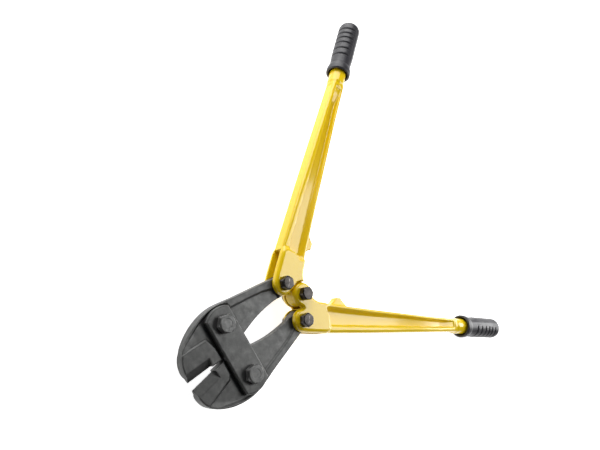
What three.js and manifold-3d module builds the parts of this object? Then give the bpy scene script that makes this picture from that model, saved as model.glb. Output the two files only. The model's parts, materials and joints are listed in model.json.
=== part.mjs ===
// Centre-cut bolt cutters with two forged handles, lying flat and partly open.
// Millimetres. X runs from the jaws (-) to the handles (+), Y across the tool, Z up through its
// thickness. While the pieces are made, the origin is on the centre line between the two jaw bolts,
// halfway through the jaws; at the end the whole tool is set on the ground over its own middle.

import * as THREE from 'three';
import { mergeVertices } from 'three/addons/utils/BufferGeometryUtils.js';
import Module from 'manifold-3d';

const wasm = await Module();
wasm.setup();

// ---------------------------------------------------------------- driving dimensions

const GAP = 0.3;                                        // clearance between pieces that touch
const JAW_BOLT = new THREE.Vector2(0, 39.5);            // pivot of the upper jaw in the straps
const CENTRE_BOLT_X = 140;                              // pivot shared by the two handles
const LINK = 38.8;                                      // centre bolt to handle bolt
const HANDLE_ANGLE = THREE.MathUtils.degToRad(35.6);    // each handle's angle to the centre line
const JAW_ANGLE = THREE.MathUtils.degToRad(3.53);       // how far each jaw stands open

const WEB_Z = 5;              // half thickness of the jaw's web
const RIM_Z = 7.2;            // half thickness of the jaw's rim, blade and the end of its tail
const STRAP_INNER_Z = 5.5;
const STRAP_OUTER_Z = 13;
const STRAP_HALF_LENGTH = 63.6;
const STRAP_FRONT_X = -22.4;
const STRAP_REAR_X = 20.3;
const STRAP_END_RADIUS = 35.4;

const HEAD_Z = 16;            // half thickness of a handle's forged head
const HEAD_ROUNDING = 5;
const SHAFT_Z = 11.5;         // half thickness of a handle's I-section shaft
const SHAFT_ROUNDING = 3.6;
const STOP_Z = 6;             // half thickness of the stop bumps
const RECESS_Z = 4;           // half thickness of the recessed web of the shaft
const RECESS_FILLET = 4;      // slope between the web and its flanges
const SLOT_Z = 7.5;           // half width of the slots in the head
const TONGUE_Z = 7.2;         // half thickness of the upper handle's centre lug
const CENTRE_LUG_RADIUS = 17;
const TONGUE_RADIUS = 16;
const HANDLE_LUG_RADIUS = 16;
const TAIL_RADIUS = 14.4;     // round end of the jaw's tail
const TAIL_DROP = 1.5;        // the round end is this much nearer the centre line than its bolt
const TAIL_BOSS_RADIUS = 15;
const BEVEL_WIDTH = 12.6;     // of the ground bevel behind each cutting edge
const HANDLE_AXIS = 31.2;     // offset of the grip's axis from the centre bolt

const ROD_RADIUS = 12;
const BOSS_RADIUS = 13;
const BOSS_START = 384;
const GRIP_START = 415.5;
const GRIP_END = 537;
const GRIP_RADIUS = 19.6;
const GRIP_COLLAR_RADIUS = 21.5;

const JAW_SHANK = 8;
const JAW_HEAD_FLATS = 23.5;
const JAW_HEAD_HEIGHT = 9;
const JAW_NUT_HEIGHT = 7.4;
const HANDLE_SHANK = 6;
const HANDLE_HEAD_FLATS = 18.5;
const HANDLE_HEAD_HEIGHT = 10.4;
const HANDLE_NUT_HEIGHT = 7;
const WASHER_THICKNESS = 2;
const BOLT_OVERHANG = 1.5;    // thread that shows past the nut

// Where the lower handle's centre lug goes in the upper handle's frame as the tool closes and
// opens: the two handles are each geared to their jaws, so the lugs drift by up to this much.
const OPEN_PIVOT_PATH = [
  [-2.2, -2.4], [-1, -1.2], [0, 0], [0.6, 1], [1, 1.9], [1.2, 2.6], [1, 3.2], [0.5, 2.7], [0.1, 1.3],
];

// ---------------------------------------------------------------- materials

const steelDark = new THREE.MeshStandardMaterial({ color: 0x6a6b68, roughness: 0.5, metalness: 0.8 });
const steelBolt = new THREE.MeshStandardMaterial({ color: 0x8b8c89, roughness: 0.4, metalness: 0.9 });
const steelBlack = new THREE.MeshStandardMaterial({ color: 0x2a2825, roughness: 0.3, metalness: 0.7 });
const paintYellow = new THREE.MeshStandardMaterial({ color: 0xf2c41d, roughness: 0.35, metalness: 0.1 });
const rubberBlack = new THREE.MeshStandardMaterial({ color: 0x25232a, roughness: 0.7, metalness: 0 });

// ---------------------------------------------------------------- solid helpers

function toSolid(geometry) {
  geometry.deleteAttribute('normal');
  geometry.deleteAttribute('uv');
  const merged = mergeVertices(geometry, 1e-4);
  const mesh = new wasm.Mesh({
    numProp: 3,
    vertProperties: merged.attributes.position.array,
    triVerts: new Uint32Array(merged.index.array),
  });
  return new wasm.Manifold(mesh);
}

function toGeometry(solid) {
  const mesh = solid.getMesh();
  const geometry = new THREE.BufferGeometry();
  geometry.setAttribute('position', new THREE.BufferAttribute(mesh.vertProperties, 3));
  geometry.setIndex(new THREE.BufferAttribute(mesh.triVerts, 1));
  return geometry;
}

// A flat plate with the given outline between two heights, its edges broken by a chamfer, or
// rounded where the chamfer has more than one facet.
function plate(shape, low, high, chamfer = 0, curveSegments = 10, facets = 1) {
  const geometry = new THREE.ExtrudeGeometry(shape, {
    depth: high - low - 2 * chamfer,
    bevelEnabled: chamfer > 0,
    bevelThickness: chamfer,
    bevelSize: chamfer,
    bevelOffset: -chamfer,
    bevelSegments: facets,
    curveSegments,
  });
  geometry.translate(0, 0, low + chamfer);
  return toSolid(geometry);
}

function cylinder(x, y, radius, low, high, segments = 32) {
  const geometry = new THREE.CylinderGeometry(radius, radius, high - low, segments);
  geometry.rotateX(Math.PI / 2);
  geometry.translate(x, y, (low + high) / 2);
  return toSolid(geometry);
}

// Room for a round lug or bolt of this radius anywhere along the open pivot's path.
function pivotRoom(radius, low, high) {
  return OPEN_PIVOT_PATH
    .map(([x, y]) => cylinder(x, y, radius + 2 * GAP, low, high, 36))
    .reduce((sum, next) => sum.add(next));
}

function polygon(points) {
  return new THREE.Shape(points.map(([x, y]) => new THREE.Vector2(x, y)));
}

// The same geometry on the other side of the XZ plane.
function mirrored(geometry) {
  const copy = geometry.clone();
  copy.scale(1, -1, 1);
  const index = copy.index.array;
  for (let i = 0; i < index.length; i += 3) {
    const first = index[i];
    index[i] = index[i + 1];
    index[i + 1] = first;
  }
  return copy;
}

function named(name, geometry, material) {
  const mesh = new THREE.Mesh(geometry, material);
  mesh.name = name;
  return mesh;
}

// Height of the step behind each blade at the heel and the nose.
const UPPER_STEP = { heel: 36, nose: 40.2 };
const LOWER_STEP = { heel: 26, nose: 35.4 };

// ---------------------------------------------------------------- straps

function strapShape() {
  const middle = (STRAP_FRONT_X + STRAP_REAR_X) / 2;
  const halfWidth = (STRAP_REAR_X - STRAP_FRONT_X) / 2;
  const centreY = STRAP_HALF_LENGTH - STRAP_END_RADIUS;
  const reach = Math.asin(halfWidth / STRAP_END_RADIUS);
  const shape = new THREE.Shape();
  shape.absarc(middle, centreY, STRAP_END_RADIUS, Math.PI / 2 - reach, Math.PI / 2 + reach, false);
  shape.absarc(middle, -centreY, STRAP_END_RADIUS, 1.5 * Math.PI - reach, 1.5 * Math.PI + reach, false);
  shape.closePath();
  return shape;
}

function strap(low, high) {
  let solid = plate(strapShape(), low, high, 0.6, 12);
  for (const y of [JAW_BOLT.y, -JAW_BOLT.y]) {
    solid = solid.subtract(cylinder(JAW_BOLT.x, y, JAW_SHANK + GAP, low - 1, high + 1));
  }
  return toGeometry(solid);
}

// ---------------------------------------------------------------- jaws

// Where a point of the closed jaw stands when the jaw is open by JAW_ANGLE.
function opened(x, y) {
  return new THREE.Vector2(x, y).rotateAround(JAW_BOLT, -JAW_ANGLE);
}

function handleBoltPosition() {
  const x = CENTRE_BOLT_X - LINK * Math.sin(HANDLE_ANGLE);
  return new THREE.Vector2(x, LINK * Math.cos(HANDLE_ANGLE));
}

function jawShape() {
  const bolt = handleBoltPosition();
  const tip = opened(-77.8, GAP / 2);
  const heel = opened(0, GAP / 2);
  const shape = new THREE.Shape();
  shape.moveTo(tip.x, tip.y);
  shape.lineTo(-79.2, 11);
  shape.splineThru([
    new THREE.Vector2(-79.2, 22), new THREE.Vector2(-75, 34), new THREE.Vector2(-65, 45.4),
    new THREE.Vector2(-50, 55.3), new THREE.Vector2(-33, 62.2), new THREE.Vector2(-14, 66),
    new THREE.Vector2(6, 65.6), new THREE.Vector2(36, 59.4),
  ]);
  shape.absarc(bolt.x, bolt.y - TAIL_DROP, TAIL_RADIUS, 1.38, -Math.PI / 2, true);
  shape.splineThru([
    new THREE.Vector2(104, 16.6), new THREE.Vector2(92, 17.8), new THREE.Vector2(79, 17.8),
    new THREE.Vector2(66, 17.2), new THREE.Vector2(52, 15.6), new THREE.Vector2(38, 12.9),
    new THREE.Vector2(27, 10.4),
  ]);
  shape.lineTo(heel.x, heel.y);
  shape.closePath();
  return shape;
}

// Raised rim along the back of the jaw, clear of the strap that lies inside it; it runs out at
// the nose and ends on the boss round the handle bolt.
function rimInsideShape() {
  const shape = new THREE.Shape();
  shape.moveTo(-80, 30);
  shape.lineTo(-73, 43);
  shape.splineThru([
    new THREE.Vector2(-62, 47.4), new THREE.Vector2(-46, 54), new THREE.Vector2(-28, 60.6),
    new THREE.Vector2(-14, 63.6), new THREE.Vector2(0, 64.4), new THREE.Vector2(12, 63),
  ]);
  shape.lineTo(22.6, 58.6);
  shape.lineTo(24, 52);
  shape.lineTo(58, 46.3);
  shape.lineTo(82, 41.6);
  shape.lineTo(104, 34);
  shape.lineTo(104, 0);
  shape.lineTo(-60, -20);
  shape.closePath();
  return shape;
}

// Thick part of the jaw behind the cutting edge, up to a straight step from nose to heel.
function bladeShape(step) {
  return polygon([
    [-100, -10], [-25.5, -10], [-26.5, 20], [-31.5, step.heel], [-75, step.nose], [-100, step.nose + 1],
  ]);
}

// Wedge that grinds one side of the cutting edge.
function bevelWedge(side) {
  const heelX = -39;
  const noseX = -90;
  const deep = 30;
  const section = (x) => [
    new THREE.Vector3(x, GAP / 2 - 0.02, 0),
    new THREE.Vector3(x, BEVEL_WIDTH, side * RIM_Z),
    new THREE.Vector3(x, BEVEL_WIDTH, side * deep),
    new THREE.Vector3(x, -deep, side * deep),
    new THREE.Vector3(x, -deep, 0),
  ];
  const corners = [...section(noseX), ...section(heelX)];
  const positions = corners.flatMap((corner) => {
    const turned = opened(corner.x, corner.y);
    return [turned.x, turned.y, corner.z];
  });
  const faces = [];
  for (let i = 0; i < 5; i += 1) {
    const next = (i + 1) % 5;
    faces.push(i, next, 5 + next, i, 5 + next, 5 + i);
  }
  for (let i = 1; i < 4; i += 1) {
    faces.push(0, i + 1, i, 5, 5 + i, 6 + i);
  }
  const geometry = new THREE.BufferGeometry();
  geometry.setAttribute('position', new THREE.Float32BufferAttribute(positions, 3));
  if (side < 0) faces.reverse();
  geometry.setIndex(faces);
  return toSolid(geometry);
}

function jaw(step) {
  const shape = jawShape();
  const body = plate(shape, -RIM_Z, RIM_Z, 0, 5);
  const web = plate(shape, -WEB_Z, WEB_Z, 0, 5);
  const rim = body.subtract(plate(rimInsideShape(), -RIM_Z - 1, RIM_Z + 1, 0, 5));
  const blade = body.intersect(plate(bladeShape(step), -RIM_Z - 1, RIM_Z + 1));
  const bolt = handleBoltPosition();
  const boss = body.intersect(cylinder(bolt.x, bolt.y, TAIL_BOSS_RADIUS, -20, 20));
  let solid = web.add(rim).add(blade).add(boss);
  solid = solid.subtract(bevelWedge(1)).subtract(bevelWedge(-1));
  solid = solid.subtract(cylinder(JAW_BOLT.x, JAW_BOLT.y, JAW_SHANK + GAP, -20, 20));
  solid = solid.subtract(cylinder(bolt.x, bolt.y, HANDLE_SHANK + GAP, -20, 20));
  return toGeometry(solid);
}

// ---------------------------------------------------------------- handles

// In a handle's own frame X runs from the centre bolt along the handle and Y away from the other
// handle; the centre bolt is at (0, 0) and the handle bolt at (0, LINK).

function headOutline(shape, lugRadius) {
  shape.absarc(0, 0, lugRadius, 0.12, -4.53, true);
  shape.lineTo(0.8, 20.2);
  shape.absarc(0, LINK, HANDLE_LUG_RADIUS, -1.75, -1.5 * Math.PI, true);
  shape.lineTo(10, 55.2);
}

// Outline of the whole forging.
function handleShape(lugRadius) {
  const shape = new THREE.Shape();
  headOutline(shape, lugRadius);
  shape.lineTo(58, 55.2);
  shape.lineTo(148, 52.4);
  shape.lineTo(224, 49.5);
  shape.lineTo(BOSS_START + 8, 42.6);
  shape.lineTo(BOSS_START + 8, 19);
  shape.lineTo(312, 18.3);
  shape.lineTo(150, 14);
  shape.lineTo(62, 11);
  shape.lineTo(34, 10);
  shape.quadraticCurveTo(24, 8.6, lugRadius, 2.1);
  return shape;
}

// Bump on the inner edge of the shaft that meets the other handle's when the tool is closed.
function stopBump() {
  const shape = polygon([[60, 17], [60, 11]]);
  shape.quadraticCurveTo(71, 8, 76, -0.6);
  shape.lineTo(86, -0.9);
  shape.quadraticCurveTo(91, 5, 101, 12.5);
  shape.lineTo(101, 17);
  return plate(shape, -STOP_Z, STOP_Z, 1.5, 4);
}

// The thicker head stops just short of the recess in the shaft.
function headShape(lugRadius) {
  const shape = new THREE.Shape();
  headOutline(shape, lugRadius);
  shape.lineTo(44, 55.2);
  shape.quadraticCurveTo(52, 55, 54, 48);
  shape.lineTo(52, 16);
  shape.quadraticCurveTo(51, 10.6, 45, 10.4);
  shape.lineTo(34, 10);
  shape.quadraticCurveTo(24, 8.6, lugRadius, 2.1);
  return shape;
}

function recessShape() {
  const shape = new THREE.Shape();
  shape.moveTo(62, 45);
  shape.quadraticCurveTo(54, 44.4, 55, 34);
  shape.lineTo(53, 22);
  shape.quadraticCurveTo(53, 15.8, 60, 15.6);
  shape.lineTo(150, 18.6);
  shape.lineTo(312, 22.2);
  shape.lineTo(381, 23.4);
  shape.lineTo(381, 36.2);
  shape.lineTo(310, 38.6);
  shape.lineTo(147, 43);
  shape.closePath();
  return shape;
}

// The slot between the cheeks: it takes the jaw's tail at every position of the handle and runs
// on to a rounded end at the back of the head.
function jawSlot() {
  const shape = polygon([[-80, 9.2], [-0.3, 22.4], [36, 22.4]]);
  shape.quadraticCurveTo(47, 23.2, 49, 38);
  shape.lineTo(50, 52);
  shape.quadraticCurveTo(50, 58, 46, 64);
  shape.lineTo(46, 116);
  shape.lineTo(-120, 116);
  return plate(shape, -SLOT_Z, SLOT_Z, 0, 5);
}

// Round rod that the grip is pushed onto, with the larger boss that shows in front of the grip.
function gripRod() {
  const profile = [
    [0, BOSS_START], [BOSS_RADIUS - 1, BOSS_START], [BOSS_RADIUS, BOSS_START + 1],
    [BOSS_RADIUS, GRIP_START + 16], [ROD_RADIUS, GRIP_START + 18], [ROD_RADIUS, GRIP_END - 14],
    [ROD_RADIUS - 3, GRIP_END - 11], [0, GRIP_END - 11],
  ].map(([radius, along]) => new THREE.Vector2(radius, along));
  const geometry = new THREE.LatheGeometry(profile, 32);
  geometry.rotateZ(-Math.PI / 2);
  geometry.translate(0, HANDLE_AXIS, 0);
  return toSolid(geometry);
}

function handle(isFork) {
  const lugRadius = isFork ? CENTRE_LUG_RADIUS : TONGUE_RADIUS;
  let solid = plate(handleShape(lugRadius), -SHAFT_Z, SHAFT_Z, SHAFT_ROUNDING, 5);
  solid = solid.add(plate(headShape(lugRadius), -HEAD_Z, HEAD_Z, HEAD_ROUNDING, 6, 2)).add(stopBump());
  for (const side of [-1, 1]) {
    const floor = side * RECESS_Z;
    const outside = side * (HEAD_Z + 1 + RECESS_FILLET);
    const recess = plate(recessShape(), Math.min(floor, outside), Math.max(floor, outside), RECESS_FILLET, 4);
    solid = solid.subtract(recess);
  }
  solid = solid.add(gripRod()).subtract(jawSlot());
  if (isFork) {
    solid = solid.subtract(pivotRoom(CENTRE_LUG_RADIUS, -SLOT_Z, SLOT_Z));
    solid = solid.subtract(cylinder(0, 0, HANDLE_SHANK + GAP, -30, 30));
  } else {
    solid = solid.subtract(pivotRoom(CENTRE_LUG_RADIUS, TONGUE_Z, HEAD_Z + 1));
    solid = solid.subtract(pivotRoom(CENTRE_LUG_RADIUS, -HEAD_Z - 1, -TONGUE_Z));
    solid = solid.subtract(pivotRoom(HANDLE_SHANK, -TONGUE_Z - 1, TONGUE_Z + 1));
  }
  solid = solid.subtract(cylinder(0, LINK, HANDLE_SHANK + GAP, -30, 30));
  return toGeometry(solid);
}

// ---------------------------------------------------------------- grips

function grip() {
  const bore = ROD_RADIUS + GAP;
  const profile = [
    [0, GRIP_END - 10.5], [bore, GRIP_END - 10.5], [bore, GRIP_START + 24],
    [BOSS_RADIUS + 1.2, GRIP_START + 19], [BOSS_RADIUS + 3.4, GRIP_START + 6],
    [GRIP_COLLAR_RADIUS - 3, GRIP_START], [GRIP_COLLAR_RADIUS - 0.8, GRIP_START],
    [GRIP_COLLAR_RADIUS, GRIP_START + 2], [GRIP_COLLAR_RADIUS - 0.4, GRIP_START + 9],
    [GRIP_RADIUS, GRIP_START + 20], [GRIP_RADIUS, GRIP_END - 14],
    [GRIP_RADIUS - 1.4, GRIP_END - 8], [GRIP_RADIUS - 5, GRIP_END - 3], [GRIP_RADIUS - 11, GRIP_END - 0.5],
    [0, GRIP_END],
  ].map(([radius, along]) => new THREE.Vector2(radius, along));
  const geometry = new THREE.LatheGeometry(profile, 32);
  geometry.rotateZ(-Math.PI / 2);
  geometry.translate(0, HANDLE_AXIS, 0);
  return toGeometry(toSolid(geometry));
}

// ---------------------------------------------------------------- fasteners

function hexagon(flats, turn, low, high, chamfer, chamferedTop) {
  const corner = flats / Math.sqrt(3);
  const prism = new THREE.CylinderGeometry(corner, corner, high - low, 6);
  prism.rotateX(Math.PI / 2);
  prism.rotateZ(turn);
  prism.translate(0, 0, (low + high) / 2);
  const top = chamferedTop ? high : low;
  const base = chamferedTop ? low - 1 : high + 1;
  const shoulder = chamferedTop ? high - chamfer : low + chamfer;
  const cone = new THREE.LatheGeometry([
    new THREE.Vector2(0, base), new THREE.Vector2(corner + 0.5, base),
    new THREE.Vector2(corner + 0.5, shoulder), new THREE.Vector2(flats / 2 - 1, top),
    new THREE.Vector2(0, top),
  ].reverse(), 24);
  cone.rotateX(Math.PI / 2);
  const trimmed = toSolid(prism).intersect(outward(cone));
  return trimmed;
}

// A lathe's faces point out only when its profile runs up the axis the right way.
function outward(geometry) {
  const solid = toSolid(geometry.clone());
  if (solid.volume() > 0) return solid;
  const flipped = mergeVertices(geometry);
  flipped.index.array.reverse();
  return toSolid(flipped);
}

function bolt(shank, headFlats, turn, headHeight, headLow, end) {
  const head = hexagon(headFlats, turn, headLow, headLow + headHeight, 1.4, true);
  const tip = new THREE.CylinderGeometry(shank, shank - 1.2, 1.2, 24);
  tip.rotateX(Math.PI / 2);
  tip.translate(0, 0, end + 0.6);
  return toGeometry(head.add(cylinder(0, 0, shank, end + 1.2, headLow + 1, 24)).add(toSolid(tip)));
}

function nut(bore, flats, turn, low, high) {
  const blank = hexagon(flats, turn, low, high, 1.2, false);
  return toGeometry(blank.subtract(cylinder(0, 0, bore, low - 1, high + 1, 24)));
}

// Split spring washer.
function washer(bore, radius, low, high) {
  const split = 0.12;
  const shape = new THREE.Shape();
  shape.absarc(0, 0, radius, split, 2 * Math.PI - split, false);
  shape.absarc(0, 0, bore, 2 * Math.PI - split * 2, split * 2, true);
  shape.closePath();
  return toGeometry(plate(shape, low, high, 0, 14));
}

// Bolt from the front, then washer and nut at the back, all on one axis.
function fastener(parent, place, names, face, dims) {
  const turn = THREE.MathUtils.degToRad(place.turn);
  const washerHigh = -face - GAP;
  const nutHigh = washerHigh - WASHER_THICKNESS - GAP;
  const nutLow = nutHigh - dims.nutHeight;
  const pieces = [
    named(names.bolt, bolt(dims.shank, dims.flats, turn, dims.headHeight, face + GAP, nutLow - BOLT_OVERHANG),
      dims.material),
    named(names.washer, washer(dims.shank + GAP, dims.flats / 2, washerHigh - WASHER_THICKNESS, washerHigh),
      steelBolt),
    named(names.nut, nut(dims.shank + GAP, dims.flats, turn, nutLow, nutHigh), dims.material),
  ];
  for (const piece of pieces) {
    piece.position.set(place.x, place.y, 0);
    parent.add(piece);
  }
}

const JAW_FASTENER = {
  shank: JAW_SHANK,
  flats: JAW_HEAD_FLATS,
  headHeight: JAW_HEAD_HEIGHT,
  nutHeight: JAW_NUT_HEIGHT,
  material: steelBolt,
};
const HANDLE_FASTENER = {
  shank: HANDLE_SHANK,
  flats: HANDLE_HEAD_FLATS,
  headHeight: HANDLE_HEAD_HEIGHT,
  nutHeight: HANDLE_NUT_HEIGHT,
  material: steelBlack,
};

// ---------------------------------------------------------------- assembly

const tool = new THREE.Group();

tool.add(named('strap_front', strap(STRAP_INNER_Z, STRAP_OUTER_Z), steelDark));
tool.add(named('strap_rear', strap(-STRAP_OUTER_Z, -STRAP_INNER_Z), steelDark));

tool.add(named('jaw_upper', jaw(UPPER_STEP), steelDark));
tool.add(named('jaw_lower', mirrored(jaw(LOWER_STEP)), steelDark));

const gripGeometry = grip();

for (const [word, side] of [['upper', 1], ['lower', -1]]) {
  const jawBoltNames = {
    bolt: `jaw_bolt_${word}`, washer: `jaw_washer_${word}`, nut: `jaw_nut_${word}`,
  };
  const jawBolt = { x: JAW_BOLT.x, y: side * JAW_BOLT.y, turn: side > 0 ? 15 : 30 };
  fastener(tool, jawBolt, jawBoltNames, STRAP_OUTER_Z, JAW_FASTENER);

  const arm = new THREE.Group();
  arm.position.set(CENTRE_BOLT_X, 0, 0);
  arm.rotation.z = side * HANDLE_ANGLE;
  const forging = handle(word === 'lower');
  arm.add(named(`handle_${word}`, side > 0 ? forging : mirrored(forging), paintYellow));
  arm.add(named(`grip_${word}`, side > 0 ? gripGeometry : mirrored(gripGeometry), rubberBlack));
  const boltNames = {
    bolt: `handle_bolt_${word}`, washer: `handle_washer_${word}`, nut: `handle_nut_${word}`,
  };
  fastener(arm, { x: 0, y: side * LINK, turn: 0 }, boltNames, HEAD_Z, HANDLE_FASTENER);
  if (word === 'lower') {
    const names = { bolt: 'centre_bolt', washer: 'centre_washer', nut: 'centre_nut' };
    fastener(arm, { x: 0, y: 0, turn: 20 }, names, HEAD_Z, HANDLE_FASTENER);
  }
  tool.add(arm);
}

// Set the tool on the ground, centred on its own footprint.
tool.updateMatrixWorld(true);
const extent = new THREE.Box3().setFromObject(tool, true);
const footprint = extent.getCenter(new THREE.Vector3());
tool.position.set(-footprint.x, -footprint.y, -extent.min.z);

export default tool;
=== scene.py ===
"""Bolt cutters: the looks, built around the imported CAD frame.

Lengths are millimetres until a mesh is made. Jaws and straps are drawn in the tool's frame (origin
between the jaw bolts, X towards the handles, Z up), handles and grips in a handle's frame (origin on
the centre bolt, X along the handle, Y away from the other handle). The lower half of the tool is the
upper half mirrored, apart from the blade's step and the handle's end at the centre bolt. Forged
pieces are distance fields: each piece is a function that gives the distance to its surface, and
skin() turns that into a mesh.
"""

import json
import math

import bpy
import numpy as np
from mathutils import Matrix, Vector

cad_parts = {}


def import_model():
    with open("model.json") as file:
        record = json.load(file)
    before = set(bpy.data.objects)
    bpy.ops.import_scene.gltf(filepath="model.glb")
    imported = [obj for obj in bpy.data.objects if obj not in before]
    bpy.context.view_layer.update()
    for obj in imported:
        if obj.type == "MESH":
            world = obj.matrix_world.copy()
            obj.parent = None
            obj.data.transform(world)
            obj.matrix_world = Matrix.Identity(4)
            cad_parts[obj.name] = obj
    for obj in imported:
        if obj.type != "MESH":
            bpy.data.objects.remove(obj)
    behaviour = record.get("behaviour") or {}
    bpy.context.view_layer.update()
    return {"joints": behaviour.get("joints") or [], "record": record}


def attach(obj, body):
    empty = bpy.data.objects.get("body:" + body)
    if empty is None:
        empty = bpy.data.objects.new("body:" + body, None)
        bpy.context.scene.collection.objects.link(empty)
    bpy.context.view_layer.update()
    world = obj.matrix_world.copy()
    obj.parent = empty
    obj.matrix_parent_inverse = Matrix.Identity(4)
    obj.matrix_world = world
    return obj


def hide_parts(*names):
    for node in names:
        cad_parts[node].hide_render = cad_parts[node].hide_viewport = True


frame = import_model()

# ---------------------------------------------------------------- frames and driving sizes

MM = 0.001
JOINTS = {joint["name"]: joint for joint in frame["joints"]}
JAW_HINGE = Vector(JOINTS["jaw_upper_hinge"]["pos_m"])
HANDLE_HINGE = Vector(JOINTS["handle_upper_hinge"]["pos_m"])
REST_FACE = Vector(frame["record"]["mounts"][0]["pos_m"])
TOOL_ORIGIN = Vector((JAW_HINGE.x, 0, JAW_HINGE.z))
CENTRE_BOLT = Vector((REST_FACE.x, 0, JAW_HINGE.z))

JAW_BOLT_Y = JAW_HINGE.y / MM
LINK = (HANDLE_HINGE - CENTRE_BOLT).length / MM
HANDLE_ANGLE = math.atan2(CENTRE_BOLT.x - HANDLE_HINGE.x, HANDLE_HINGE.y)
TAIL_X = (HANDLE_HINGE.x - TOOL_ORIGIN.x) / MM
TAIL_Y = HANDLE_HINGE.y / MM
JAW_ANGLE = math.radians(3.53)  # how far each jaw stands open at rest

GAP = 0.3
WEB_Z = 5.0
RIM_Z = 7.2
STRAP_INNER_Z = 5.5
STRAP_OUTER_Z = 13.0
HEAD_Z = 16.0
SHAFT_Z = 11.5
RECESS_Z = 4.0
SLOT_Z = 7.5
TONGUE_Z = 7.2
STOP_Z = 6.0
FORK_RADIUS = 17.0
TONGUE_RADIUS = 16.0
LUG_RADIUS = 16.0
TAIL_RADIUS = 14.4
TAIL_DROP = 1.5
TAIL_BOSS_RADIUS = 15.0
BEVEL_WIDTH = 12.6
AXIS_Y = 31.2
ROD_RADIUS = 12.0
BOSS_RADIUS = 13.0
BOSS_START = 384.0
GRIP_START = 415.5
GRIP_END = 537.0
GRIP_RADIUS = 19.6
COLLAR_RADIUS = 21.5
BOSS_END = GRIP_START + 18
ROD_END = GRIP_END - 11
SWELL_X = GRIP_START - 10
SWELL_HALF_LENGTH = 14
SWELL_HEIGHT = 1.5
STRAP_FRONT_X = -22.4
STRAP_REAR_X = 20.3
STRAP_HALF_LENGTH = 63.6
STRAP_END_RADIUS = 35.4
JAW_SHANK = 8.0
HANDLE_SHANK = 6.0
CORNER_SHARE = 0.985
RING_STEPS = 96

# Where the blade block's step ends at the bolt and at the nose, as heights in the jaw.
BLADE_STEPS = {"upper": (35, 39.3), "lower": (25.4, 34.6)}

# A bolt and its nut: across flats, heights, and how far the head's top is sunk, or domed if below 0.
JAW_FASTENER = {
    "face": STRAP_OUTER_Z, "shank": JAW_SHANK, "flats": 23.5,
    "head_height": 9, "nut_height": 7.4, "dish": 0.3,
}
HANDLE_FASTENER = {
    "face": HEAD_Z, "shank": HANDLE_SHANK, "flats": 18.5,
    "head_height": 10.4, "nut_height": 7, "dish": -0.5,
}

# How far each bolt happens to be turned on its axis, in degrees.
JAW_BOLT_TURNS = {"upper": 45, "lower": 0}
HANDLE_BOLT_TURN = 30
CENTRE_BOLT_TURN = 50

# Size of a sampling cell on each forged piece.
STRAP_STEP = 0.6
JAW_STEP = 0.7
HANDLE_STEP = 1.0

# Where the other handle's centre lug goes in a handle's frame as the tool moves, because the hinges
# turn at a constant ratio and the real linkage doesn't.
OPEN_PIVOT_PATH = [
    (-2.2, -2.4), (-1, -1.2), (0, 0), (0.6, 1), (1, 1.9), (1.2, 2.6), (1, 3.2), (0.5, 2.7), (0.1, 1.3),
]

# ---------------------------------------------------------------- outlines


def arc(x, y, radius, start, end, steps=28):
    """Points on an arc, from one angle to the other."""
    return [(x + radius * math.cos(a), y + radius * math.sin(a)) for a in np.linspace(start, end, steps)]


def bend(start, control, end, steps=10):
    """Points on a quadratic curve, without its first."""
    path = [Vector(p) for p in (start, control, end)]
    points = []
    for t in np.linspace(0, 1, steps + 1)[1:]:
        points.append(tuple(path[0] * (1 - t) ** 2 + path[1] * 2 * t * (1 - t) + path[2] * t * t))
    return points


def through(points, steps=8):
    """A smooth Catmull-Rom line through the points."""
    padded = [points[0], *points, points[-1]]
    line = [points[0]]
    for a, b, c, d in zip(padded, padded[1:], padded[2:], padded[3:]):
        a, b, c, d = (np.array(p, float) for p in (a, b, c, d))
        for t in np.linspace(0, 1, steps + 1)[1:]:
            line.append(tuple(0.5 * (2 * b + (c - a) * t + (2 * a - 5 * b + 4 * c - d) * t ** 2
                                     + (3 * b - a - 3 * c + d) * t ** 3)))
    return line


def outline_distance(points, x, y):
    """Distance from each (x, y) to a closed outline, negative inside it."""
    inside = np.zeros(x.shape, bool)
    nearest = np.full(x.shape, 1e9)
    for (ax, ay), (bx, by) in zip(points, points[1:] + points[:1]):
        dx, dy = bx - ax, by - ay
        length = dx * dx + dy * dy
        if length < 1e-12:
            continue
        t = np.clip(((x - ax) * dx + (y - ay) * dy) / length, 0, 1)
        nearest = np.minimum(nearest, np.hypot(x - ax - t * dx, y - ay - t * dy))
        if dy:
            inside ^= ((ay > y) != (by > y)) & (x < ax + (y - ay) * dx / dy)
    return np.where(inside, -nearest, nearest)


def path_distance(points, x, y):
    """Distance from each (x, y) to an open line."""
    nearest = np.full(x.shape, 1e9)
    for (ax, ay), (bx, by) in zip(points, points[1:]):
        dx, dy = bx - ax, by - ay
        t = np.clip(((x - ax) * dx + (y - ay) * dy) / (dx * dx + dy * dy), 0, 1)
        nearest = np.minimum(nearest, np.hypot(x - ax - t * dx, y - ay - t * dy))
    return nearest


# ---------------------------------------------------------------- distance fields


def rise(value, low, high):
    """0 below low, 1 above high, smooth between."""
    t = np.clip((value - low) / (high - low), 0, 1)
    return t * t * (3 - 2 * t)


def both(a, b, radius):
    """Where two solids meet, with the edge between them rounded to radius."""
    qa, qb = a + radius, b + radius
    return np.hypot(np.maximum(qa, 0), np.maximum(qb, 0)) + np.minimum(np.maximum(qa, qb), 0) - radius


def joined(a, b, fillet):
    """Two solids as one, with a fillet along the seam."""
    h = np.maximum(fillet - np.abs(a - b), 0)
    return np.minimum(a, b) - h * h / (4 * fillet)


def carved(solid, cut, edge):
    """solid without cut, the new edge softened."""
    return -joined(-solid, cut, edge)


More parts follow.
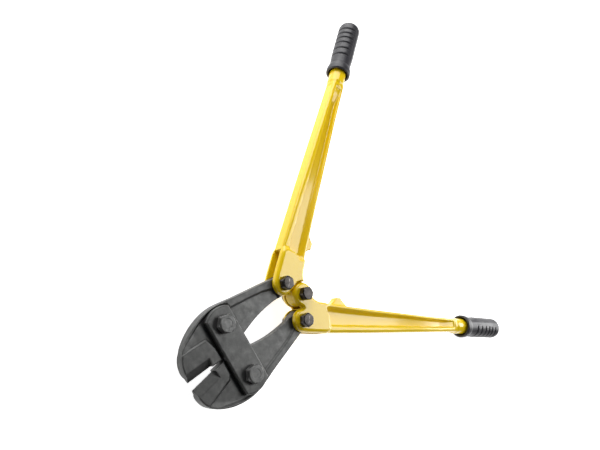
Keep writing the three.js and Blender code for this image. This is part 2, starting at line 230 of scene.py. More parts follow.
def grid(low, high, step):
    """Coordinates of a sampling grid that covers the box with a margin of two steps."""
    axes = [np.arange(a - 2 * step, b + 3 * step, step) for a, b in zip(low, high)]
    return np.meshgrid(*axes, indexing="ij", sparse=True), [axis[0] for axis in axes]


def skin(field, low, high, step):
    """Vertices and quads of the surface where field(x, y, z) is zero, by surface nets."""
    (x, y, z), corner = grid(low, high, step)
    value = np.broadcast_to(field(x, y, z), (x.shape[0], y.shape[1], z.shape[2])).astype(np.float32)
    inside = value < 0
    cells = tuple(n - 1 for n in value.shape)
    total = np.zeros((*cells, 3), np.float32)
    count = np.zeros(cells, np.int8)

    def block(array, offset, shrink=(0, 0, 0)):
        return array[tuple(slice(o, o + n + s) for o, n, s in zip(offset, cells, shrink))]

    for axis in range(3):
        others = [a for a in range(3) if a != axis]
        for corner_a in (0, 1):
            for corner_b in (0, 1):
                start = [0, 0, 0]
                start[others[0]], start[others[1]] = corner_a, corner_b
                end = list(start)
                end[axis] = 1
                a, b = block(value, start), block(value, end)
                crosses = block(inside, start) != block(inside, end)
                share = np.where(crosses, a / np.where(crosses, a - b, 1), 0)
                for other in range(3):
                    total[..., other] += np.where(crosses, start[other] + (share if other == axis else 0), 0)
                count += crosses
    used = count > 0
    index = np.full(cells, -1, np.int64)
    index[used] = np.arange(used.sum())
    vertices = (np.argwhere(used) + total[used] / count[used][:, None]) * step + np.array(corner)

    quads = []
    for axis in range(3):
        one, two = [(axis + 1) % 3, (axis + 2) % 3]
        start = [1, 1, 1]
        start[axis] = 0
        size = [n - 1 for n in cells]
        size[axis] = cells[axis]
        here = tuple(slice(s, s + n) for s, n in zip(start, size))
        after = list(start)
        after[axis] += 1
        there = tuple(slice(s, s + n) for s, n in zip(after, size))
        crosses = inside[here] != inside[there]
        leaving = inside[here] & ~inside[there]
        ring = []
        for back_one, back_two in ((1, 1), (0, 1), (0, 0), (1, 0)):
            at = list(start)
            at[one] -= back_one
            at[two] -= back_two
            ring.append(index[tuple(slice(s, s + n) for s, n in zip(at, size))])
        ring = np.stack(ring, -1)
        quads.append(ring[crosses & leaving])
        quads.append(ring[crosses & ~leaving][:, ::-1])
    return vertices, np.concatenate(quads)


# ---------------------------------------------------------------- making pieces


def handle_place(side):
    """Matrix from a handle's frame in millimetres to the row frame."""
    turn = Matrix.Rotation(HANDLE_ANGLE, 4, "Z")
    return Matrix.Diagonal((1, side, 1, 1)) @ Matrix.Translation(CENTRE_BOLT) @ turn @ Matrix.Scale(MM, 4)


def tool_place(side):
    """Matrix from the tool's frame in millimetres to the row frame."""
    return Matrix.Diagonal((1, side, 1, 1)) @ Matrix.Translation(TOOL_ORIGIN) @ Matrix.Scale(MM, 4)


def piece(name, shape, place, material, body, sharp_degrees=None):
    """A mesh object that stands for the CAD node of the same name and rides on its body."""
    vertices, faces = shape
    matrix = np.array(place)
    points = np.asarray(vertices) @ matrix[:3, :3].T + matrix[:3, 3]
    faces = np.asarray(faces)
    if np.linalg.det(matrix[:3, :3]) < 0:
        faces = faces[:, ::-1]
    mesh = bpy.data.meshes.new(name)
    mesh.vertices.add(len(points))
    mesh.vertices.foreach_set("co", points.astype(np.float32).ravel())
    corners = [face[face >= 0] for face in faces] if (faces < 0).any() else faces
    sizes = np.array([len(face) for face in corners])
    mesh.loops.add(int(sizes.sum()))
    mesh.loops.foreach_set("vertex_index", np.concatenate(list(corners)).astype(np.int32))
    mesh.polygons.add(len(sizes))
    mesh.polygons.foreach_set("loop_start", np.concatenate([[0], np.cumsum(sizes)[:-1]]).astype(np.int32))
    mesh.update(calc_edges=True)
    mesh.polygons.foreach_set("use_smooth", np.ones(len(sizes), bool))
    if sharp_degrees:
        mesh.set_sharp_from_angle(angle=math.radians(sharp_degrees))
    mesh.materials.append(material)
    made = bpy.data.objects.new("look_" + name, mesh)
    bpy.context.scene.collection.objects.link(made)
    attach(made, body)
    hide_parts(name)


def turned(rows, steps, caps=(True, True)):
    """Quads over rows of (height, radii at each angle), closed at both ends by a fan or in a ring."""
    angles = np.linspace(0, 2 * math.pi, steps, endpoint=False)
    vertices = []
    for height, radii in rows:
        radii = np.broadcast_to(radii, steps)
        vertices += [(r * math.cos(a), r * math.sin(a), height) for r, a in zip(radii, angles)]
    faces = []
    ring = np.arange(steps)
    after = (ring + 1) % steps
    for row in range(len(rows) - 1):
        base = row * steps
        faces += [(base + a, base + b, base + steps + b, base + steps + a) for a, b in zip(ring, after)]
    if caps[0]:
        faces += fan(vertices, range(steps), rows[0][0], True)
    if caps[1]:
        last = (len(rows) - 1) * steps
        faces += fan(vertices, range(last, last + steps), rows[-1][0], False)
    if not any(caps):
        base = (len(rows) - 1) * steps
        faces += [(base + a, base + b, b, a) for a, b in zip(ring, after)]
    return np.array(vertices), np.array(faces)


def fan(vertices, ring, height, first):
    """Triangles, as quads with a spare corner of -1, from a ring to a new vertex at its middle."""
    middle = len(vertices)
    vertices.append((0, 0, height))
    ring = list(ring)
    pairs = zip(ring, ring[1:] + ring[:1])
    return [(b, a, middle, -1) if first else (a, b, middle, -1) for a, b in pairs]


# ---------------------------------------------------------------- jaws and straps


def opened(x, y):
    """Where a point of the closed jaw stands when the jaw is open."""
    c, s = math.cos(-JAW_ANGLE), math.sin(-JAW_ANGLE)
    return x * c - (y - JAW_BOLT_Y) * s, x * s + (y - JAW_BOLT_Y) * c + JAW_BOLT_Y


def closed(x, y):
    """The opposite of opened(), for arrays."""
    c, s = math.cos(JAW_ANGLE), math.sin(JAW_ANGLE)
    return x * c - (y - JAW_BOLT_Y) * s, x * s + (y - JAW_BOLT_Y) * c + JAW_BOLT_Y


def jaw_outline():
    back = through([
        (-79.2, 11), (-79.2, 22), (-75, 34), (-65, 45.4), (-50, 55.3), (-33, 62.2), (-14, 66), (6, 65.6),
        (36, 59.4),
    ])
    tail = arc(TAIL_X, TAIL_Y - TAIL_DROP, TAIL_RADIUS, 1.38, -math.pi / 2)
    inner = through([
        tail[-1], (104, 16.6), (92, 17.8), (79, 17.8), (66, 17.2), (52, 15.6), (38, 12.9), (27, 10.4),
    ])
    return [opened(-77.8, GAP / 2), *back, *tail, *inner[1:], opened(0, GAP / 2)]


def inside_rim_outline():
    """The part of the jaw inside its raised rim."""
    rim = through([(-73, 43), (-62, 47.4), (-46, 54.2), (-28, 61), (-14, 64.1), (0, 64.9), (12, 63.5)])
    return [(-80, 30), *rim, (22.6, 59), (24, 52), (58, 46.3), (82, 41.6), (104, 34), (104, 0), (-60, -20)]


def blade_outline(heel, nose):
    """The thick block behind the cutting edge, up to a straight step between these two heights."""
    return [(-100, -10), (-25.5, -10), (-26.5, 20), (-31.5, heel), (-75, nose), (-100, nose + 1)]


def bevel_cut(x, y, z):
    """The ground bevels on both sides of the cutting edge."""
    heel_x = -39.0
    along, across = closed(x, y)
    slant = math.hypot(1, BEVEL_WIDTH / RIM_Z)
    plane = (across - GAP / 2 - (BEVEL_WIDTH - GAP / 2) * np.abs(z) / RIM_Z) / slant
    return np.maximum(plane, along - heel_x)


def jaw_field(heel, nose):
    """A jaw with its two sunk faces, whose walls lean out by wall_run, and its bevels and bores."""
    wall_run, depth = 2.6, RIM_Z - WEB_Z
    nose_rise = 0.9
    outer_rounding = 1.6

    def field(x, y, z):
        flat_x, flat_y = np.broadcast_arrays(x, y)
        flat = outline_distance(jaw_outline(), flat_x, flat_y)
        bolt = np.hypot(x - TAIL_X, y - TAIL_Y)
        height = np.abs(z)
        pocket = np.maximum(outline_distance(inside_rim_outline(), flat_x, flat_y),
                            -outline_distance(blade_outline(heel, nose), flat_x, flat_y))
        pocket = np.maximum(pocket, TAIL_BOSS_RADIUS - bolt)
        slanted = (pocket * depth + (RIM_Z - height) * wall_run) / math.hypot(depth, wall_run)
        floor_z = WEB_Z + nose_rise * rise(flat, -10, -1) * rise(-x, 38, 50)
        solid = both(flat, height - RIM_Z, outer_rounding)
        solid = carved(solid, np.maximum(slanted, floor_z - height), 0.5)
        solid = carved(solid, bevel_cut(x, y, z), 0.3)
        solid = np.maximum(solid, JAW_SHANK + GAP - np.hypot(x, y - JAW_BOLT_Y))
        return np.maximum(solid, HANDLE_SHANK + GAP - bolt)

    return field


def strap_field(x, y, z):
    """One strap, with its own middle at height 0."""
    rounding = 2.0
    middle, half = (STRAP_FRONT_X + STRAP_REAR_X) / 2, (STRAP_REAR_X - STRAP_FRONT_X) / 2
    past_straight = np.maximum(np.abs(y) - STRAP_HALF_LENGTH + STRAP_END_RADIUS, 0)
    ends = np.hypot(x - middle, past_straight) - STRAP_END_RADIUS
    flat = np.maximum(ends, np.abs(x - middle) - half)
    solid = both(flat, np.abs(z) - (STRAP_OUTER_Z - STRAP_INNER_Z) / 2, rounding)
    return np.maximum(solid, JAW_SHANK + GAP - np.hypot(x, np.abs(y) - JAW_BOLT_Y))


# ---------------------------------------------------------------- handles


def head_points(lug_radius):
    """The end of a handle's outline, round its two bolts."""
    knuckle = arc(0, LINK, LUG_RADIUS, -1.75, -1.5 * math.pi)
    return [*arc(0, 0, lug_radius, 0.12, -4.53, 60), (0.8, 20.2), *knuckle, (10, 55.2)]


def handle_outline(lug_radius):
    return [*head_points(lug_radius), (58, 55.2), (148, 52.4), (224, 49.5), (BOSS_START + 8, 42.6),
            (BOSS_START + 8, 19), (312, 18.3), (150, 14), (62, 11), (34, 10),
            *bend((34, 10), (24, 8.6), (lug_radius, 2.1))]


def head_outline(lug_radius):
    return [*head_points(lug_radius), (44, 55.2), *bend((44, 55.2), (52, 55), (54, 48)), (52, 16),
            *bend((52, 16), (51, 10.6), (45, 10.4)), (34, 10), *bend((34, 10), (24, 8.6), (lug_radius, 2.1))]


def recess_outline():
    return [(62, 45), *bend((62, 45), (54, 44.4), (55, 34)), (50, 22), *bend((50, 22), (47.5, 15), (58, 15)),
            (150, 18.6), (312, 22.2), (381, 23.4), (381, 36.2), (310, 38.6), (147, 43)]


def stop_outline():
    return [(60, 17), (60, 11), *bend((60, 11), (71, 8), (76, -0.6)), (86, -0.9),
            *bend((86, -0.9), (91, 5), (101, 12.5)), (101, 17)]


def jaw_slot_outline():
    return [(-80, 9.2), (-0.3, 22.4), (36, 22.4), *bend((36, 22.4), (47, 23.2), (49, 38)), (50, 52),
            *bend((50, 52), (50, 58), (46, 64)), (46, 116), (-120, 116)]


def handle_field(is_fork):
    """A handle: shaft, thicker head, stop, the round end under the grip, recesses, slots and bores."""
    lug_radius = FORK_RADIUS if is_fork else TONGUE_RADIUS
    boss_middle, boss_half = (BOSS_START + BOSS_END) / 2, (BOSS_END - BOSS_START) / 2
    rod_middle, rod_half = (BOSS_START + ROD_END) / 2, (ROD_END - BOSS_START) / 2

    def field(x, y, z):
        x2, y2 = np.broadcast_arrays(x, y)
        height = np.abs(z)
        shaft_rounding = 2.6 + 2.2 * rise(y, 22, 44)
        shaft = both(outline_distance(handle_outline(lug_radius), x2, y2), height - SHAFT_Z, shaft_rounding)
        head_rounding = 3.4 + 1.6 * rise(y, 40, 52)
        head = both(outline_distance(head_outline(lug_radius), x2, y2), height - HEAD_Z, head_rounding)
        solid = joined(shaft, head, 5)
        stop = both(outline_distance(stop_outline(), x2, y2), height - STOP_Z, 1.5)
        solid = joined(solid, stop, 2)
        inner_extra = 3.6 - 2.6 * rise(x, 60, 300)
        wall_run = 1.8 + inner_extra * (1 - rise(y, 24, 34))
        depth = SHAFT_Z - RECESS_Z
        recess = outline_distance(recess_outline(), x2, y2)
        wall = (recess * depth + (SHAFT_Z - height) * wall_run) / np.hypot(depth, wall_run)
        floor_z = RECESS_Z + 6 * rise(x, 345, 381)
        solid = carved(solid, both(wall, floor_z - height, 1.5), 0.8)
        radius = np.hypot(y - AXIS_Y, z)
        boss = both(radius - BOSS_RADIUS, np.abs(x - boss_middle) - boss_half, 1.5)
        solid = joined(solid, boss, 2.5)
        swell = both(radius - BOSS_RADIUS - SWELL_HEIGHT, np.abs(x - SWELL_X) - SWELL_HALF_LENGTH, 3)
        solid = joined(solid, swell, 3)
        rod = both(radius - ROD_RADIUS, np.abs(x - rod_middle) - rod_half, 3)
        solid = joined(solid, rod, 1)
        slot = outline_distance(jaw_slot_outline(), x2, y2)
        play = path_distance(OPEN_PIVOT_PATH, x2, y2) - 2 * GAP
        if is_fork:
            slot = np.minimum(slot, play - FORK_RADIUS)
        solid = carved(solid, both(slot, height - SLOT_Z, 0.8), 1.4)
        if is_fork:
            solid = np.maximum(solid, HANDLE_SHANK + GAP - np.hypot(x, y))
        else:
            solid = carved(solid, np.maximum(play - FORK_RADIUS, TONGUE_Z - height), 1)
            solid = np.maximum(solid, HANDLE_SHANK - play)
        return np.maximum(solid, HANDLE_SHANK + GAP - np.hypot(x, y - LINK))

    return field


# ---------------------------------------------------------------- grips


def grip_shape():
    """A hollow rubber grip along +Z from its mouth, ribbed on the side towards +X."""
    steps = RING_STEPS
    angles = np.linspace(0, 2 * math.pi, steps, endpoint=False)
    from_palm = np.abs((angles + math.pi) % (2 * math.pi) - math.pi)
    palm = rise(np.cos(angles), math.cos(math.radians(100)), math.cos(math.radians(82)))
    border = np.exp(-((np.abs(from_palm - math.radians(104)) / 0.07) ** 2))
    grooves = [451, 465, 479, 491, 502, 513]
    groove_depth, groove_width = 1.6, 1.5
    border_depth = 0.5
    neck_depth = 0.9
    line_x, line_depth, line_width = 433, 0.6, 2.2
    end_length = 15
    lip_length, lip_depth = 2.5, 1.6

    def outside(along):
        collar = 1 - rise(along, GRIP_START + 7, GRIP_START + 22)
        radius = GRIP_RADIUS - neck_depth + (COLLAR_RADIUS - GRIP_RADIUS + neck_depth) * collar
        radius += neck_depth * rise(along, GRIP_START + 22, GRIP_START + 44)
        radius -= line_depth * math.exp(-((along - line_x) / line_width) ** 2)
        end = max(along - (GRIP_END - end_length), 0) / end_length
        dome = math.sqrt(max(1 - end ** 2.4, 0))
        lip = max(GRIP_START + lip_length - along, 0) / lip_length
        radius -= lip_depth * lip * lip
        sunk = sum(math.exp(-((along - groove) / groove_width) ** 2) for groove in grooves)
        lengthwise = rise(along, 444, 450) * (1 - rise(along, 520, 528))
        return (radius - groove_depth * sunk * palm - border_depth * border * lengthwise) * dome

    rows = [(along, outside(along)) for along in np.linspace(GRIP_START, GRIP_END - 0.02, 210)]
    bore = [(GRIP_END - 10.5, ROD_RADIUS + GAP), (GRIP_START + 24, ROD_RADIUS + GAP),
            (GRIP_START + 19, BOSS_RADIUS + 1.2), (GRIP_START + 6, BOSS_RADIUS + 3.4),
            (GRIP_START + 1, COLLAR_RADIUS - 3.6)]
    hollow = turned(bore, steps, caps=(True, False))
    shell = turned(rows, steps, caps=(False, True))
    count = len(shell[0])
    faces = [tuple(corner + count if corner >= 0 else -1 for corner in face) for face in hollow[1]]
    seam_start = count + (len(bore) - 1) * steps
    seam = [(seam_start + a, seam_start + (a + 1) % steps, (a + 1) % steps, a) for a in range(steps)]
    return np.concatenate([shell[0], hollow[0]]), np.concatenate([shell[1], np.array(faces), np.array(seam)])


def grip_place(side):
    """The grip's own axis is Z; in the handle's frame it lies along X, its palm side away from the other."""
    turn = Matrix(((0, 0, 1, 0), (1, 0, 0, AXIS_Y), (0, 1, 0, 0), (0, 0, 0, 1)))
    return handle_place(side) @ turn


# ---------------------------------------------------------------- fasteners


def hexagon_radii(flats, steps, limit):
    """Radius at each angle of a hexagon with slightly rounded corners, inside a circle of radius limit."""
    angles = np.linspace(0, 2 * math.pi, steps, endpoint=False)
    turned_by = angles % (math.pi / 3) - math.pi / 6
    flat = flats / 2 / np.cos(turned_by)
    sharpness = 40
    return (flat ** -sharpness + np.broadcast_to(limit, steps) ** -float(sharpness)) ** (-1 / sharpness)


def bolt_shape(shank, flats, head_height, head_low, end, dish):
    """Head up: a threaded shank and a chamfered hexagon head with a slightly sunk or domed top."""
    steps = RING_STEPS
    corner = flats / math.sqrt(3) * CORNER_SHARE
    angles = np.linspace(0, 2 * math.pi, steps, endpoint=False)
    pitch, depth, thread_length = 1.5, 0.55, 14
    thread_top = end + thread_length
    sunk, domed = max(dish, 0), max(-dish, 0)
    rows = []
    for z in np.linspace(end, thread_top, 90):
        phase = (z / pitch - angles / (2 * math.pi)) % 1
        ridge = np.abs(2 * phase - 1)
        point = min((z - end) / 1.2, 1)
        rows.append((z, shank - 1.1 * (1 - point) - depth * ridge * point))
    rows += [(thread_top + 0.3, shank), (head_low - 0.6, shank), (head_low, shank + 0.4)]
    rows.append((head_low, hexagon_radii(flats, steps, corner) - 0.5))
    rows.append((head_low + 0.5, hexagon_radii(flats, steps, corner)))
    top = head_low + head_height - domed
    rim = flats * 0.475
    chamfer_slope = 0.577
    chamfer = (corner - rim) * chamfer_slope
    for t in np.linspace(0, 1, 8):
        rows.append((top - chamfer * (1 - t), hexagon_radii(flats, steps, corner + (rim - corner) * t)))
    for share in (0.94, 0.8, 0.62, 0.58, 0.3):
        sink = sunk if share < 0.6 else 0
        rows.append((top - sink + domed * (1 - share ** 2), rim * share))
    return turned(rows, steps)


def nut_shape(bore, flats, low, high):
    """A hexagon nut, both ends chamfered, as a ring round its bore."""
    steps = RING_STEPS
    corner = flats / math.sqrt(3) * CORNER_SHARE
    chamfer = 1.5
    rim = flats / 2 - 0.6
    rows = [(high - 0.8, bore), (low + 0.8, bore), (low, bore + 0.8), (low, rim - 0.6)]
    for t in np.linspace(0, 1, 7):
        rows.append((low + 0.1 + chamfer * t, hexagon_radii(flats, steps, rim + (corner - rim) * t ** 0.8)))
    for t in np.linspace(1, 0, 7):
        rows.append((high - 0.1 - chamfer * t, hexagon_radii(flats, steps, rim + (corner - rim) * t ** 0.8)))
    rows += [(high, rim - 0.6), (high, bore + 0.8)]
    return turned(rows, steps, caps=(False, False))


def washer_shape(bore, radius, low, high):
    """A split spring washer: a square-cornered bar bent almost round, its ends sprung apart."""
    steps = 72
    split = 0.13
    spring = 0.35
    bevel = 0.25
    thickness = high - low - spring
    section = [(bore, bevel), (bore + bevel, 0), (radius - bevel, 0), (radius, bevel),
               (radius, thickness - bevel), (radius - bevel, thickness), (bore + bevel, thickness),
               (bore, thickness - bevel)]
    vertices, faces = [], []
    for i, angle in enumerate(np.linspace(split, 2 * math.pi - split, steps)):
        lift = low + spring * i / (steps - 1)
        vertices += [(r * math.cos(angle), r * math.sin(angle), lift + h) for r, h in section]
    size = len(section)
    for i in range(steps - 1):
        for j in range(size):
            k = (j + 1) % size
            faces.append((i * size + j, (i + 1) * size + j, (i + 1) * size + k, i * size + k))
    last = (steps - 1) * size
    for base, flip in ((0, False), (last, True)):
        quads = [(0, 1, 2, 3), (0, 3, 4, 7), (4, 5, 6, 7)]
        faces += [tuple(base + c for c in (q[::-1] if flip else q)) for q in quads]
    return np.array(vertices), np.array(faces)


def fastener(place, at, turn, body, names, looks, face, shank, flats, head_height, nut_height, dish):
    """Bolt, washer and nut on one axis, the bolt's head above the face and the nut below the other one."""
    washer_thickness = 2.0
    overhang = 1.5
    washer_high = -face - GAP
    nut_high = washer_high - washer_thickness - GAP
    nut_low = nut_high - nut_height
    bolt_look, bolt_slot, washer_look, washer_slot = looks
    move = place @ Matrix.Translation((*at, 0)) @ Matrix.Rotation(math.radians(turn), 4, "Z")
    shapes = (
        (bolt_shape(shank, flats, head_height, face + GAP, nut_low - overhang, dish), bolt_look, bolt_slot),
        (washer_shape(shank + GAP, flats / 2 - 1.5, washer_high - washer_thickness, washer_high),
         washer_look, washer_slot),
        (nut_shape(shank + GAP, flats, nut_low, nut_high), bolt_look, bolt_slot),
    )
    for name, (shape, look, slot) in zip(names, shapes):
        piece(name, shape, move, look, body, sharp_degrees=32)


# ---------------------------------------------------------------- materials


class Look:
    """A Principled material with short calls for its nodes."""

    def __init__(self, name):
        self.material = bpy.data.materials.new(name)
        self.material.use_nodes = True
        self.nodes = self.material.node_tree.nodes
        self.links = self.material.node_tree.links
        self.shader = self.nodes["Principled BSDF"]
        self.place = self.nodes.new("ShaderNodeTexCoord").outputs["Object"]

    def link(self, output, socket):
        self.links.new(output, socket)

    def noise(self, scale, detail, roughness=0.55):
        """Noise with features about 1 / scale metres across."""
        node = self.nodes.new("ShaderNodeTexNoise")
        node.inputs["Scale"].default_value = scale
        node.inputs["Detail"].default_value = detail
        node.inputs["Roughness"].default_value = roughness
        self.link(self.place, node.inputs["Vector"])
        return node.outputs["Fac"]

    def edges(self, low, high):
        """0 on flat places and 1 on outside edges."""
        pointed = self.nodes.new("ShaderNodeNewGeometry").outputs["Pointiness"]
        return self.span(pointed, low, high, 0, 1)

    def span(self, value, low, high, to_low, to_high):
        node = self.nodes.new("ShaderNodeMapRange")
        node.inputs["From Min"].default_value = low
        node.inputs["From Max"].default_value = high
        node.inputs["To Min"].default_value = to_low
        node.inputs["To Max"].default_value = to_high
        self.link(value, node.inputs["Value"])
        return node.outputs["Result"]

    def times(self, a, b):
        node = self.nodes.new("ShaderNodeMath")
        node.operation = "MULTIPLY"
        node.use_clamp = True
        self.link(a, node.inputs[0])
        self.link(b, node.inputs[1])
        return node.outputs["Value"]

    def ramp(self, value, *stops):
        """A colour for each (place, colour) stop."""
        node = self.nodes.new("ShaderNodeValToRGB")
        elements = node.color_ramp.elements
        while len(elements) < len(stops):
            elements.new(0.5)
        for element, (at, colour) in zip(elements, stops):
            element.position = at
            element.color = (*colour, 1)
        self.link(value, node.inputs["Fac"])
        return node.outputs["Color"]

    def mixed(self, share, a, b):
        """Colour a, turning into b where share is 1."""
        node = self.nodes.new("ShaderNodeMix")
        node.data_type = "RGBA"
        self.link(share, node.inputs["Factor"])
        for value, socket in ((a, node.inputs[6]), (b, node.inputs[7])):
            if isinstance(value, tuple):
                socket.default_value = (*value, 1)
            else:
                self.link(value, socket)
        return node.outputs[2]

    def bump(self, height, strength, distance, under=None):
        node = self.nodes.new("ShaderNodeBump")
        node.inputs["Strength"].default_value = strength
        node.inputs["Distance"].default_value = distance
        self.link(height, node.inputs["Height"])
        if under:
            self.link(under, node.inputs["Normal"])
        return node.outputs["Normal"]

    def finish(self, colour, roughness, normal, **settings):
        self.link(colour, self.shader.inputs["Base Color"])
        self.link(roughness, self.shader.inputs["Roughness"])
        self.link(normal, self.shader.inputs["Normal"])
        for name, value in settings.items():
            self.shader.inputs[name.replace("_", " ")].default_value = value
        return self.material


def yellow_enamel():
    look = Look("yellow_enamel")
    cloud = look.noise(9, detail=3)
    paint = look.ramp(cloud, (0.3, (0.80, 0.545, 0.003)), (0.7, (0.86, 0.60, 0.005)))
    specks = look.span(look.noise(420, detail=2), 0.64, 0.7, 0, 0.35)
    paint = look.mixed(specks, paint, (0.62, 0.38, 0.008))
    # Painted highlight: paler yellow along the outside edges, broken up by noise.
    wear_and_edge_highlight = look.times(look.edges(0.56, 0.66), look.span(look.noise(60, detail=6), 0.5, 0.62, 0, 1))
    paint = look.mixed(wear_and_edge_highlight, paint, (0.95, 0.76, 0.2))
    roughness = look.span(look.noise(35, detail=5), 0.3, 0.7, 0.26, 0.4)
    peel = look.bump(look.noise(260, detail=2), 0.12, 0.0006)
    cast = look.bump(look.noise(38, detail=3), 0.2, 0.0012, peel)
    return look.finish(paint, roughness, cast, Metallic=0.0, IOR=1.5, Specular_IOR_Level=0.05,
                       Coat_Weight=1.0, Coat_Roughness=0.12)


def forged_steel():
    look = Look("forged_steel")
    mottle = look.noise(120, detail=6, roughness=0.65)
    steel = look.ramp(mottle, (0.3, (0.05, 0.051, 0.05)), (0.52, (0.071, 0.072, 0.07)),
                      (0.75, (0.1, 0.101, 0.098)))
    patch = look.span(look.noise(16, detail=3), 0.35, 0.7, 0, 0.5)
    steel = look.mixed(patch, steel, (0.062, 0.063, 0.062))
    # Edge wear and painted highlight: pale steel along the outside edges, broken up by noise.
    wear_and_edge_highlight = look.times(look.edges(0.515, 0.58), look.span(look.noise(75, detail=6), 0.36, 0.6, 0.4, 1))
    steel = look.mixed(wear_and_edge_highlight, steel, (0.38, 0.38, 0.375))
    roughness = look.span(look.noise(90, detail=5), 0.3, 0.7, 0.36, 0.52)
    grain = look.bump(look.noise(700, detail=3), 0.16, 0.0003)
    scale_marks = look.bump(look.noise(70, detail=4), 0.25, 0.0006, grain)
    return look.finish(steel, roughness, scale_marks, Metallic=0.55)


def bolt_steel(name, dark, light, shine):
    look = Look(name)
    mottle = look.noise(200, detail=5)
    steel = look.ramp(mottle, (0.3, dark), (0.7, light))
    # Edge wear and painted highlight: much paler steel along the chamfers and edges, broken up by noise.
    wear_and_edge_highlight = look.times(look.edges(0.52, 0.6), look.span(look.noise(150, detail=5), 0.35, 0.6, 0.4, 1))
    steel = look.mixed(wear_and_edge_highlight, steel, tuple(min(1, 3.2 * c + 0.05) for c in light))
    roughness = look.span(look.noise(140, detail=4), 0.3, 0.7, shine, shine + 0.16)
    turning = look.bump(look.noise(900, detail=2), 0.12, 0.0002)
    return look.finish(steel, roughness, turning, Metallic=0.8)


def grip_rubber():
    look = Look("grip_rubber")
    cloud = look.noise(45, detail=4)
    rubber = look.ramp(cloud, (0.3, (0.014, 0.0135, 0.017)), (0.7, (0.024, 0.023, 0.029)))
    dusty = look.times(look.edges(0.53, 0.6), look.span(look.noise(90, detail=4), 0.4, 0.7, 0.2, 1))
    rubber = look.mixed(dusty, rubber, (0.06, 0.058, 0.068))
    roughness = look.span(look.noise(60, detail=4), 0.3, 0.7, 0.38, 0.5)
    grain = look.bump(look.noise(1100, detail=2), 0.25, 0.0003)
    return look.finish(rubber, roughness, grain, Metallic=0.0, IOR=1.52)


# ---------------------------------------------------------------- the tool

ENAMEL = yellow_enamel()
FORGED = forged_steel()
JAW_BOLT_STEEL = bolt_steel("jaw_bolt_steel", (0.08, 0.081, 0.08), (0.13, 0.131, 0.129), 0.4)
BLACK_STEEL = bolt_steel("black_bolt_steel", (0.018, 0.016, 0.015), (0.04, 0.036, 0.034), 0.2)
RUBBER = grip_rubber()

strap_height = (STRAP_INNER_Z + STRAP_OUTER_Z) / 2
strap_shape = skin(strap_field, (-23, -64, -4), (21, 64, 4), STRAP_STEP)
for strap_name, strap_side in (("strap_front", 1), ("strap_rear", -1)):
    move = tool_place(1) @ Matrix.Translation((0, 0, strap_side * strap_height))
    piece(strap_name, strap_shape, move, FORGED, "straps")

grip_mesh = grip_shape()
jaw_bolt_looks = (JAW_BOLT_STEEL, "jaw_bolt_steel", JAW_BOLT_STEEL, "jaw_bolt_steel")
handle_bolt_looks = (BLACK_STEEL, "black_bolt_steel", JAW_BOLT_STEEL, "jaw_bolt_steel")

for word, side in (("upper", 1), ("lower", -1)):
    jaw_corner = (TAIL_X + TAIL_RADIUS, 68, RIM_Z)
    shape = skin(jaw_field(*BLADE_STEPS[word]), (-80, 0, -RIM_Z), jaw_corner, JAW_STEP)
    piece(f"jaw_{word}", shape, tool_place(side), FORGED, f"jaw_{word}")
    fastener(tool_place(1), (0, side * JAW_BOLT_Y), JAW_BOLT_TURNS[word], "straps",
             [f"jaw_{part}_{word}" for part in ("bolt", "washer", "nut")], jaw_bolt_looks, **JAW_FASTENER)

    is_fork = side < 0
    reach = FORK_RADIUS if is_fork else TONGUE_RADIUS
    shape = skin(handle_field(is_fork), (-reach, -reach, -HEAD_Z), (ROD_END, 58, HEAD_Z), HANDLE_STEP)
    piece(f"handle_{word}", shape, handle_place(side), ENAMEL, f"handle_{word}")
    piece(f"grip_{word}", grip_mesh, grip_place(side), RUBBER, f"handle_{word}")
    pivots = [((0, LINK), HANDLE_BOLT_TURN, [f"handle_{part}_{word}" for part in ("bolt", "washer", "nut")])]
    if is_fork:
        pivots.append(((0, 0), CENTRE_BOLT_TURN, ["centre_bolt", "centre_washer", "centre_nut"]))
    for at, turn, names in pivots:
        fastener(handle_place(side), at, turn, f"handle_{word}", names, handle_bolt_looks, **HANDLE_FASTENER)

# ---------------------------------------------------------------- floor, light and camera


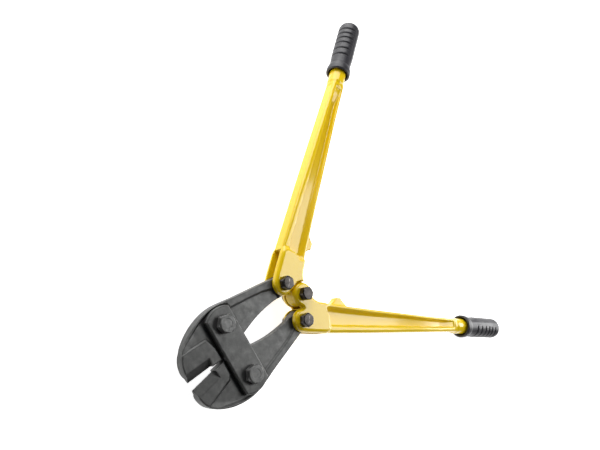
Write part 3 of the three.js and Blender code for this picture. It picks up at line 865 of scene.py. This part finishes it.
def floor():
    """A wide sheet of pale paper with some light of its own, so that it goes to white."""
    half = 6.0
    mesh = bpy.data.meshes.new("floor")
    corners = [(-half, -half, 0), (half, -half, 0), (half, half, 0), (-half, half, 0)]
    mesh.from_pydata(corners, [], [(0, 1, 2, 3)])
    look = Look("floor_paper")
    paper = look.ramp(look.noise(3, detail=2), (0.3, (0.86, 0.86, 0.86)), (0.7, (0.88, 0.88, 0.88)))
    roughness = look.span(look.noise(5, detail=2), 0.3, 0.7, 0.75, 0.85)
    mesh.materials.append(look.finish(paper, roughness, look.bump(look.noise(900, detail=2), 0.05, 0.0002),
                                      Emission_Color=(1, 1, 1, 1), Emission_Strength=0.9))
    made = bpy.data.objects.new("floor", mesh)
    bpy.context.scene.collection.objects.link(made)


def lamp(name, away, distance, size, watts):
    """A square soft lamp that shines at the tool from the direction away."""
    data = bpy.data.lights.new(name, "AREA")
    data.size = size
    data.energy = watts
    made = bpy.data.objects.new(name, data)
    direction = Vector(away).normalized()
    target = Vector((0, 0, 0.02))
    made.location = target + direction * distance
    made.rotation_euler = (-direction).to_track_quat("-Z", "Y").to_euler()
    bpy.context.scene.collection.objects.link(made)


def world(horizon, overhead):
    """Pale all round near the horizon, like the far end of the paper, and dim overhead."""
    made = bpy.data.worlds.new("studio")
    made.use_nodes = True
    nodes, links = made.node_tree.nodes, made.node_tree.links
    direction = nodes.new("ShaderNodeTexCoord")
    split = nodes.new("ShaderNodeSeparateXYZ")
    fade = nodes.new("ShaderNodeMapRange")
    links.new(direction.outputs["Generated"], split.inputs["Vector"])
    links.new(split.outputs["Z"], fade.inputs["Value"])
    for name, value in (("From Min", 0.14), ("From Max", 0.26), ("To Min", horizon), ("To Max", overhead)):
        fade.inputs[name].default_value = value
    links.new(fade.outputs["Result"], nodes["Background"].inputs["Strength"])
    nodes["Background"].inputs["Color"].default_value = (1, 1, 1, 1)
    bpy.context.scene.world = made


def camera():
    """In front of the upper jaw and above it, looking down, rolled to stand the upper handle up."""
    data = bpy.data.cameras.new("camera")
    data.sensor_width = 36
    data.lens = 34.013
    data.clip_end = 50
    made = bpy.data.objects.new("camera", data)
    tilt, swing, roll = 15.446, -40.557, -36.977
    made.location = TOOL_ORIGIN + Vector((-374.07, 230.03, 648.34)) * MM
    made.rotation_euler = [math.radians(angle) for angle in (tilt, swing, roll)]
    bpy.context.scene.collection.objects.link(made)
    bpy.context.scene.camera = made


floor()
lamp("softbox", (0.84, -0.37, 1.2), 1.54, 0.85, 12)
lamp("side", (0.35, 1.0, 0.42), 1.5, 1.2, 21)
lamp("low", (1.0, -0.6, 0.4), 1.5, 0.7, 11)
world(0.7, 0.06)
camera()
bpy.context.scene.view_settings.view_transform = "Standard"
